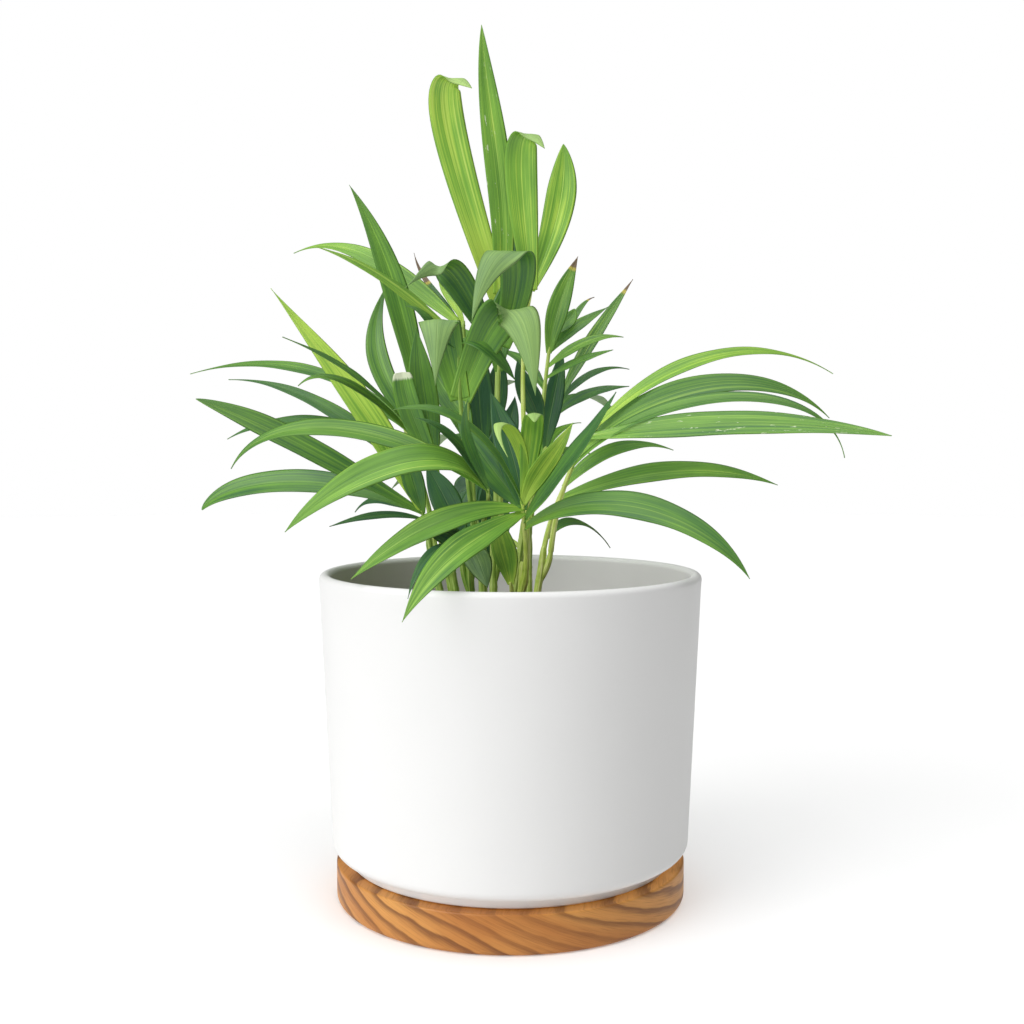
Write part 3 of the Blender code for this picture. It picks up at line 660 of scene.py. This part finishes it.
        stem="stem_9", foot=0.85, side=30, end=(-12, 34, 228), way=(100, 78),
        leaves=[
            leaf(0.9, (-30, 84, 246), 40, 0, 10, tone=0.5),
            leaf(1.0, (-8, 96, 238), 45, -20, 10, tone=0.42),
            leaf(0.8, (-38, 60, 232), 45, 5, 9, turn=-20, tone=0.4),
            leaf(0.5, (-4, 26, 231), (0, 72), (0, 84), 11, lean=90, tone=0.08),
            leaf(0.45, (-15, 21, 238), (180, 82), (180, 86), 13, lean=90, tone=0.06),
            leaf(0.25, (2, 29, 211), (0, 70), (0, 86), 12, lean=90, tone=0.06),
        ]),
    "frond_22": dict(
        stem="stem_10", foot=0.7, side=180, end=(-2, 34, 150), way=(110, 50),
        leaves=[
            leaf(0.9, (-32, 90, 140), 20, -35, 10, tone=0.35),
            leaf(1.0, (-8, 94, 146), 25, -35, 10, tone=0.4),
        ]),
}


def direction(compass, pitch):
    # Unit vector: its level part is the pitch's cos, its upright part the sin
    level = math.cos(math.radians(pitch))
    return np.array([level * math.cos(math.radians(compass)),
                     level * math.sin(math.radians(compass)),
                     math.sin(math.radians(pitch))])


def pointing(way, start, end):
    # A pitch alone is taken in the upright plane through both ends
    if isinstance(way, tuple):
        return direction(*way)
    run = np.subtract(end, start)
    return direction(math.degrees(math.atan2(run[1], run[0])), way)


def arcHandles(start, end, rise, fall, hold, curl):
    # A cubic that leaves the start along rise and reaches the end along fall
    start, end = np.array(start, float), np.array(end, float)
    span = np.linalg.norm(end - start)
    return np.array([start, start + pointing(rise, start, end) * span * hold,
                     end - pointing(fall, start, end) * span * curl, end])


def along(handles, t):
    # Place and unit tangent at each t. With s = 1 - t the place is s cubed a
    # + 3 s squared t b + 3 s t squared c + t cubed d
    t = np.atleast_1d(np.asarray(t, float))[:, None]
    s = 1 - t
    a, b, c, d = handles
    spot = s ** 3 * a + 3 * s * s * t * b + 3 * s * t * t * c + t ** 3 * d
    slope = s * s * (b - a) + 2 * s * t * (c - b) + t * t * (d - c)
    return spot, slope / np.linalg.norm(slope, axis=1)[:, None]


def stemHandles(stem):
    # The stem leaves the soil upright and leans a little at its top
    soilTop = pot["bottom"] + pot["height"] - soil["belowRim"]
    start = (*stem["foot"], soilTop + plant["clearance"])
    return arcHandles(start, stem["top"], (0, 90), 84, 0.35, 0.3)


def rachisHandles(frond):
    # The petiole starts beside its stem, clear of it, and runs up along it
    (spot,), (tangent,) = along(stemHandles(stems[frond["stem"]]), frond["foot"])
    across = direction(frond["side"], 0)
    across -= tangent * (tangent @ across)
    across /= np.linalg.norm(across)
    radius = plant["stemRadius"] + (plant["stemTip"] - plant["stemRadius"]) * frond["foot"]
    start = spot + across * (radius + plant["petiole"] + plant["clearance"])
    end = np.array(frond["end"], float)
    span = np.linalg.norm(end - start)
    return np.array([start, start + tangent * span * 0.35,
                     end - direction(*frond["way"]) * span * 0.33, end])


def halfWidth(blade, t):
    # Half the width, times a quarter sine from the root's share up to the
    # belly, times a quarter cosine to the power of the taper from there on
    opening = blade["root"] + (1 - blade["root"]) * np.sin(
        np.clip(t / blade["belly"], 0, 1) * math.pi / 2)
    closing = np.cos(np.clip((t - blade["belly"]) / (1 - blade["belly"]), 0, 1)
                     * math.pi / 2) ** blade["taper"]
    return np.maximum(0.5 * blade["width"] * opening * closing, plant["leastHalf"])


def bladeRings(blade, root, rng):
    # Point at (u, t): the cubic at t, plus u half-widths along the blade's side,
    # plus the height along its face. The height is a fold at the midrib, cosine
    # pleats, a ripple that grows with u squared, and half the thickness, which
    # thins with u to the fourth
    count = plant["across"]
    handles = arcHandles(root, blade["tip"], blade["rise"], blade["fall"],
                         blade["hold"], blade["curl"])
    t = 0.5 - 0.5 * np.cos(np.linspace(0, math.pi, plant["along"]))
    t = 0.35 * np.linspace(0, 1, plant["along"]) + 0.65 * t
    spot, tangent = along(handles, t)
    lean = blade["lean"]
    if lean is None:
        run = handles[3] - handles[0]
        lean = math.degrees(math.atan2(run[1], run[0]))
    levelSide = direction(lean - 90, 0)
    side = levelSide - tangent * (tangent @ levelSide)[:, None]
    side /= np.linalg.norm(side, axis=1)[:, None]
    face = np.cross(side, tangent)
    turn = math.radians(blade["turn"]) + plant["twist"] * np.sin(t * 3 + rng.uniform(0, 6.3)) * t
    cosine, sine = np.cos(turn)[:, None], np.sin(turn)[:, None]
    side, face = side * cosine - face * sine, face * cosine + side * sine
    half = halfWidth(blade, t)
    upper = np.linspace(-1, 1, count)
    u = np.concatenate([upper, upper[::-1][1:-1]])
    above = np.concatenate([np.ones(count), -np.ones(count - 2)])
    thickness = 0.5 * (plant["bladeEdge"] + (plant["blade"] - plant["bladeEdge"]) * (1 - u ** 4))
    lift = plant["keel"] * 2 * half[:, None] * (np.sqrt(u * u + 0.01) - 0.1)
    pleat = plant["pleat"] * half[:, None] / 6 * np.cos(u * math.pi * 5)
    wave = np.sin(t[:, None] * rng.uniform(14, 22) + u * 1.5 + rng.uniform(0, 6.3))
    ripple = plant["ripple"] * half[:, None] * u ** 2 * wave * np.minimum(t * 6, 1)[:, None]
    height = lift + pleat + ripple + thickness * above
    rings = (spot[:, None] + side[:, None] * (half[:, None] * u)[..., None]
             + face[:, None] * height[..., None])
    pattern = np.stack([np.broadcast_to((u + 1) / 2, rings.shape[:2]),
                        np.broadcast_to(t[:, None], rings.shape[:2])], -1)
    under = np.concatenate([np.zeros(count - 1), np.ones(count - 1)])
    return rings, pattern, under


def tubeRings(spots, radii, groove=0.0, flat=1.0):
    # Ring point: the path's spot, plus the reach times cos along the side and
    # times sin and the flatness along the face. Five cosine grooves run along it
    spots = np.asarray(spots, float)
    tangent = np.gradient(spots, axis=0)
    tangent /= np.linalg.norm(tangent, axis=1)[:, None]
    guide = np.array([1.0, 0.25, 0.1])
    side = guide - tangent * (tangent @ guide)[:, None]
    side /= np.linalg.norm(side, axis=1)[:, None]
    face = np.cross(tangent, side)
    angle = np.linspace(0, 2 * math.pi, plant["round"], endpoint=False)
    reach = np.asarray(radii)[:, None] * (1 + groove * np.cos(5 * angle + 1))
    rings = (spots[:, None] + side[:, None] * (reach * np.cos(angle))[..., None]
             + face[:, None] * (reach * flat * np.sin(angle))[..., None])
    t = np.linspace(0, 1, len(spots))
    pattern = np.stack([np.broadcast_to(0.5 - 0.5 * np.cos(angle / 2), rings.shape[:2]),
                        np.broadcast_to(t[:, None], rings.shape[:2])], -1)
    return rings, pattern


leafColours = {
    "deep": rgb(48, 90, 60), "dark": rgb(68, 114, 54), "mid": rgb(98, 146, 54),
    "bright": rgb(126, 176, 64), "lime": rgb(174, 208, 80), "stripe": rgb(196, 218, 118),
    "underDeep": rgb(82, 118, 72), "underBright": rgb(172, 204, 126),
    "rib": rgb(186, 208, 104), "dead": rgb(120, 100, 78), "rim": rgb(190, 178, 80),
    "torn": rgb(214, 222, 190)}


def leafFinish():
    # Long soft streaks of two widths over the leaf's tone (on leaves inside the
    # crown partly painted shade), pale stripes on some leaves, a paler back, a
    # yellowish foot and a dead tip on a few
    finish = Finish("palm_leaf")
    u, v, _ = finish.parts(finish.node("ShaderNodeUVMap", "UV", {"uv_map": "pattern"}))
    tone, stripe = finish.attribute("tone"), finish.attribute("stripe")
    burn, under = finish.attribute("burn"), finish.attribute("under")
    seed = finish.attribute("seed")
    fine = finish.noise(finish.vector(u * 26, v * 1.1, seed * 9), 1.0, 3.0, 0.7)
    broad = finish.noise(finish.vector(u * 9, v * 0.8, seed * 5), 1.0, 2.0, 0.55)
    cloud = finish.noise(finish.vector(u * 2.2, v * 3.4, seed * 7), 1.0, 2.0)
    patch = finish.noise(finish.place(), 30.0, 2.0)
    shade = tone + (patch - 0.5) * 0.35 + (cloud - 0.5) * 0.45
    shade = shade + (fine - 0.5) * 0.95 + (broad - 0.5) * 0.6 + v.ramp(0.25, 0.0) * 0.22
    shade = shade.bounded()
    colour = finish.blend(shade, [(0.0, leafColours["deep"]), (0.3, leafColours["dark"]),
                                  (0.56, leafColours["mid"]), (0.8, leafColours["bright"]),
                                  (1.0, leafColours["lime"])])
    band = broad.ramp(0.46, 0.66) * fine.ramp(0.47, 0.62) * stripe
    colour = finish.mix(band * 0.62, colour, leafColours["stripe"])
    centre = (u - 0.5).size()
    colour = finish.mix(centre.ramp(0.016, 0.004) * (0.12 + under * 0.2), colour, leafColours["rib"])
    colour = finish.mix(centre.ramp(0.475, 0.497) * 0.3, colour, leafColours["bright"])
    back = finish.mix((tone + (fine - 0.5) * 1.1 + (cloud - 0.5) * 0.6).bounded(),
                      leafColours["underDeep"], leafColours["underBright"])
    colour = finish.mix(under * 0.7, colour, back)
    flecks = finish.noise(finish.vector(u * 7, v * 16, seed * 3), 1.0, 3.0, 0.7)
    colour = finish.mix(flecks.ramp(0.64, 0.68) * finish.attribute("scar"), colour, leafColours["torn"])
    edge = v + (fine - 0.5) * 0.05 + burn
    dry = burn > 0.05
    margin = finish.mix(dry, leafColours["torn"], leafColours["rim"])
    tip = finish.mix(dry, leafColours["torn"], leafColours["dead"])
    colour = finish.mix(edge.ramp(0.955, 0.985) * (burn > 0.001), colour, margin)
    colour = finish.mix(edge.ramp(0.99, 1.01) * (burn > 0.001), colour, tip)
    finish.set("Base Color", colour)
    finish.set("Specular IOR Level", 0.38)
    finish.set("Roughness", 0.36 + fine * 0.16 + under * 0.12)
    finish.bump(fine * 0.7 + broad * 0.4 - centre.ramp(0.03, 0.0) * 0.5, 0.0002, 0.8)
    return finish.material


stemColours = {
    "green": [(0.34, rgb(66, 106, 42)), (0.48, rgb(112, 156, 60)), (0.64, rgb(176, 204, 104))],
    "pale": [(0.34, rgb(150, 184, 62)), (0.48, rgb(198, 218, 96)), (0.64, rgb(238, 242, 166))],
    "papery": rgb(170, 142, 92), "paperyFrom": 0.130, "paperyTo": 0.112}


def stemFinish():
    # Long streaks round the tube over a tone from deep green to pale, browner
    # and papery just above the soil
    finish = Finish("palm_stem")
    u, v, _ = finish.parts(finish.node("ShaderNodeUVMap", "UV", {"uv_map": "pattern"}))
    height = finish.parts(finish.place())[2]
    streak = finish.noise(finish.vector(u * 14, v * 3.0, finish.attribute("seed") * 9), 1.0, 3.0, 0.6)
    patch = finish.noise(finish.place(), 120.0, 3.0)
    shade = streak * 0.75 + patch * 0.25
    green = finish.blend(shade, stemColours["green"])
    pale = finish.blend(shade, stemColours["pale"])
    colour = finish.mix(finish.attribute("tone"), green, pale)
    low = height.ramp(stemColours["paperyFrom"], stemColours["paperyTo"])
    colour = finish.mix(low * patch.ramp(0.38, 0.62) * 0.8, colour, stemColours["papery"])
    finish.set("Base Color", colour)
    finish.set("Specular IOR Level", 0.4)
    finish.set("Roughness", 0.38 + patch * 0.2)
    finish.bump(streak, 0.0002, 0.6)
    return finish.material


def makeStem(name, stem, material, rng):
    # A slender cane: its radius runs evenly from foot to top, plus a bell-shaped
    # swelling at each node and a flare at the soil, and narrows at the end
    t = np.linspace(0, 1, 64)
    spots, _ = along(stemHandles(stem), t)
    spots[0, 2] -= plant["clearance"] + 1.2
    radii = plant["stemRadius"] + (plant["stemTip"] - plant["stemRadius"]) * t
    for ring in plant["nodes"]:
        away = (t - ring - rng.uniform(-0.03, 0.03)) / plant["nodeLength"]
        radii = radii + plant["nodeHeight"] * np.exp(-away ** 2)
    radii = radii * (1 - 0.35 * np.clip((t - 0.9) / 0.1, 0, 1) ** 2) + 0.5 * np.exp(-t / 0.03)
    batch = Batch()
    rings, pattern = tubeRings(spots, radii * 0.94, 0.05)
    batch.add(rings * mm, pattern, seed=rng.random(), tone=stem["tone"])
    place(batch.build(name + "Cane", [material]), "stem_green", name)


def makeFrond(name, frond, leafMaterial, stemMaterial, rng):
    # The petiole is drawn down along its stem to where its sheath wraps it,
    # and runs on as the rachis that carries the leaflets
    handles = rachisHandles(frond)
    t = np.linspace(0, 1, 40)
    spots, _ = along(handles, t)
    radii = plant["petiole"] + (plant["rachisTip"] - plant["petiole"]) * t
    stem = stemHandles(stems[frond["stem"]])
    low = max(frond["foot"] - plant["sheath"], 0.02)
    down = np.linspace(low, frond["foot"], 18)[:-1]
    base, _ = along(stem, down)
    (joint,), _ = along(stem, frond["foot"])
    close = (down - low) / (frond["foot"] - low)
    offset = (handles[0] - joint) * (0.15 + 0.85 * np.sin(close * math.pi / 2))[:, None]
    spots = np.concatenate([base + offset, spots])
    radii = np.concatenate([plant["petiole"] * (0.75 + 0.4 * np.sin(close * math.pi)), radii])
    batch = Batch()
    rings, pattern = tubeRings(spots, radii, 0.04, 0.85)
    batch.add(rings * mm, pattern, slot=1, seed=rng.random(), stripe=0, burn=0, scar=0, under=0,
              tone=stems[frond["stem"]]["tone"])
    for blade in frond["leaves"]:
        (root,), _ = along(handles, min(blade["at"], 0.985))
        rings, pattern, under = bladeRings(blade, root, rng)
        strips = np.concatenate([np.tile(under, plant["along"] - 1), [0, 0]])
        batch.add(rings * mm, pattern, seed=rng.random(), tone=blade["tone"] + rng.uniform(-0.04, 0.04),
                  stripe=blade["stripe"], burn=blade["burn"], scar=blade["scar"], under=strips)
    place(batch.build(name + "Leaves", [leafMaterial, stemMaterial]), "frond_green", name)


leafMaterial, stemMaterial = leafFinish(), stemFinish()
for number, (name, stem) in enumerate(stems.items()):
    makeStem(name, stem, stemMaterial, np.random.default_rng(100 + number))
for number, (name, frond) in enumerate(fronds.items()):
    makeFrond(name, frond, leafMaterial, stemMaterial, np.random.default_rng(200 + number))
print("plant made")


# Floor, light and camera

studio = {"camera": (0.0, -0.528, 0.1896), "pitch": 3.08, "focal": 1254 / 1024 * 36,
          "shift": 1.6 / 1024, "floor": 3.0, "floorTint": (0.95, 0.95, 0.95, 1),
          "sky": 0.12,
          "key": ((-0.49, -0.38, 0.42), 0.8, 40), "top": ((0.02, -0.12, 1.0), 1.7, 60),
          "fill": ((-0.50, -0.37, 0.44), 1.78, 40)}


def makeFloor():
    angle = np.linspace(0, 2 * math.pi, 96, endpoint=False)
    points = np.stack([np.cos(angle), np.sin(angle), angle * 0], -1) * studio["floor"]
    mesh = bpy.data.meshes.new("floor")
    mesh.from_pydata(points.tolist(), [], [tuple(range(96))])
    floor = bpy.data.objects.new("floor", mesh)
    bpy.context.scene.collection.objects.link(floor)
    finish = Finish("studio_floor", Roughness=0.9)
    finish.set("Base Color", studio["floorTint"])
    mesh.materials.append(finish.material)


def makeLamp(name, spot, power, angle, shadow=True):
    # A wide, far lamp: it lights the whole floor evenly
    lamp = bpy.data.lights.new(name, "SUN")
    lamp.use_shadow = shadow
    lamp.energy, lamp.angle = power, math.radians(angle)
    holder = bpy.data.objects.new(name, lamp)
    holder.location = spot
    holder.rotation_euler = Vector(spot).to_track_quat("Z", "Y").to_euler()
    bpy.context.scene.collection.objects.link(holder)


def makeSky():
    world = bpy.data.worlds.new("studio")
    bpy.context.scene.world = world
    world.use_nodes = True
    tree = world.node_tree
    background = tree.nodes["Background"]
    ray = tree.nodes.new("ShaderNodeLightPath")
    seen = Signal(tree, ray.outputs["Is Camera Ray"])
    plug(tree, background.inputs["Strength"], seen * (1.0 - studio["sky"]) + studio["sky"])
    background.inputs["Color"].default_value = (1, 1, 1, 1)


def makeCamera():
    lens = bpy.data.cameras.new("camera")
    lens.lens, lens.sensor_width, lens.shift_x = studio["focal"], 36, studio["shift"]
    lens.clip_start = 0.01
    holder = bpy.data.objects.new("camera", lens)
    holder.location = studio["camera"]
    holder.rotation_euler = (math.radians(90 - studio["pitch"]), 0, 0)
    bpy.context.scene.collection.objects.link(holder)
    bpy.context.scene.camera = holder


makeFloor()
makeLamp("keyLight", *studio["key"])
makeLamp("topLight", *studio["top"])
makeLamp("fillLight", *studio["fill"], shadow=False)
makeSky()
makeCamera()
bpy.context.scene.view_settings.view_transform = "Standard"
print("studio made")
